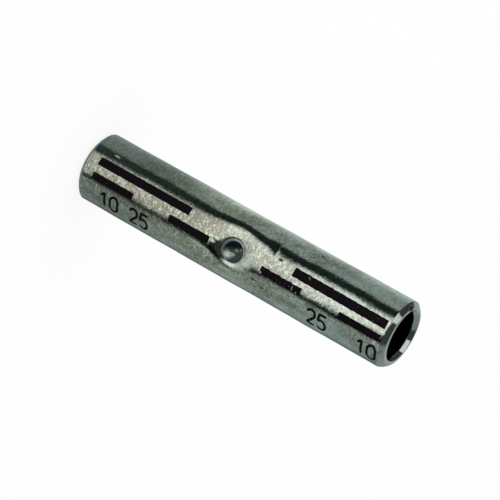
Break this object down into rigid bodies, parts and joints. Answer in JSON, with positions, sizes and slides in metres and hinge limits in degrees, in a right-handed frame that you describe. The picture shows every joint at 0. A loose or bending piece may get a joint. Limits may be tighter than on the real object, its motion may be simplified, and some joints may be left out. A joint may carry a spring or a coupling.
{
  "type": "compression butt connector",
  "caption": "Round tin-plated copper tube that joins two conductors end to end by crimping, bevelled at each end, with a pressed centre stop that limits how far each conductor goes in.",
  "frame": {"origin": "centre of the lower end, on the flat ring that the tube stands on", "axes": "+Z along the tube's axis, up; the centre stop is pressed in from the -Y side"},
  "size_m": [0.01, 0.01, 0.051],
  "materials": {
    "tin": "dull mottled tin plating on copper",
    "ink": "black printed marking ink"
  },
  "bodies": {
    "root": {"connector_sleeve": "tin"}
  },
  "joints": []
}
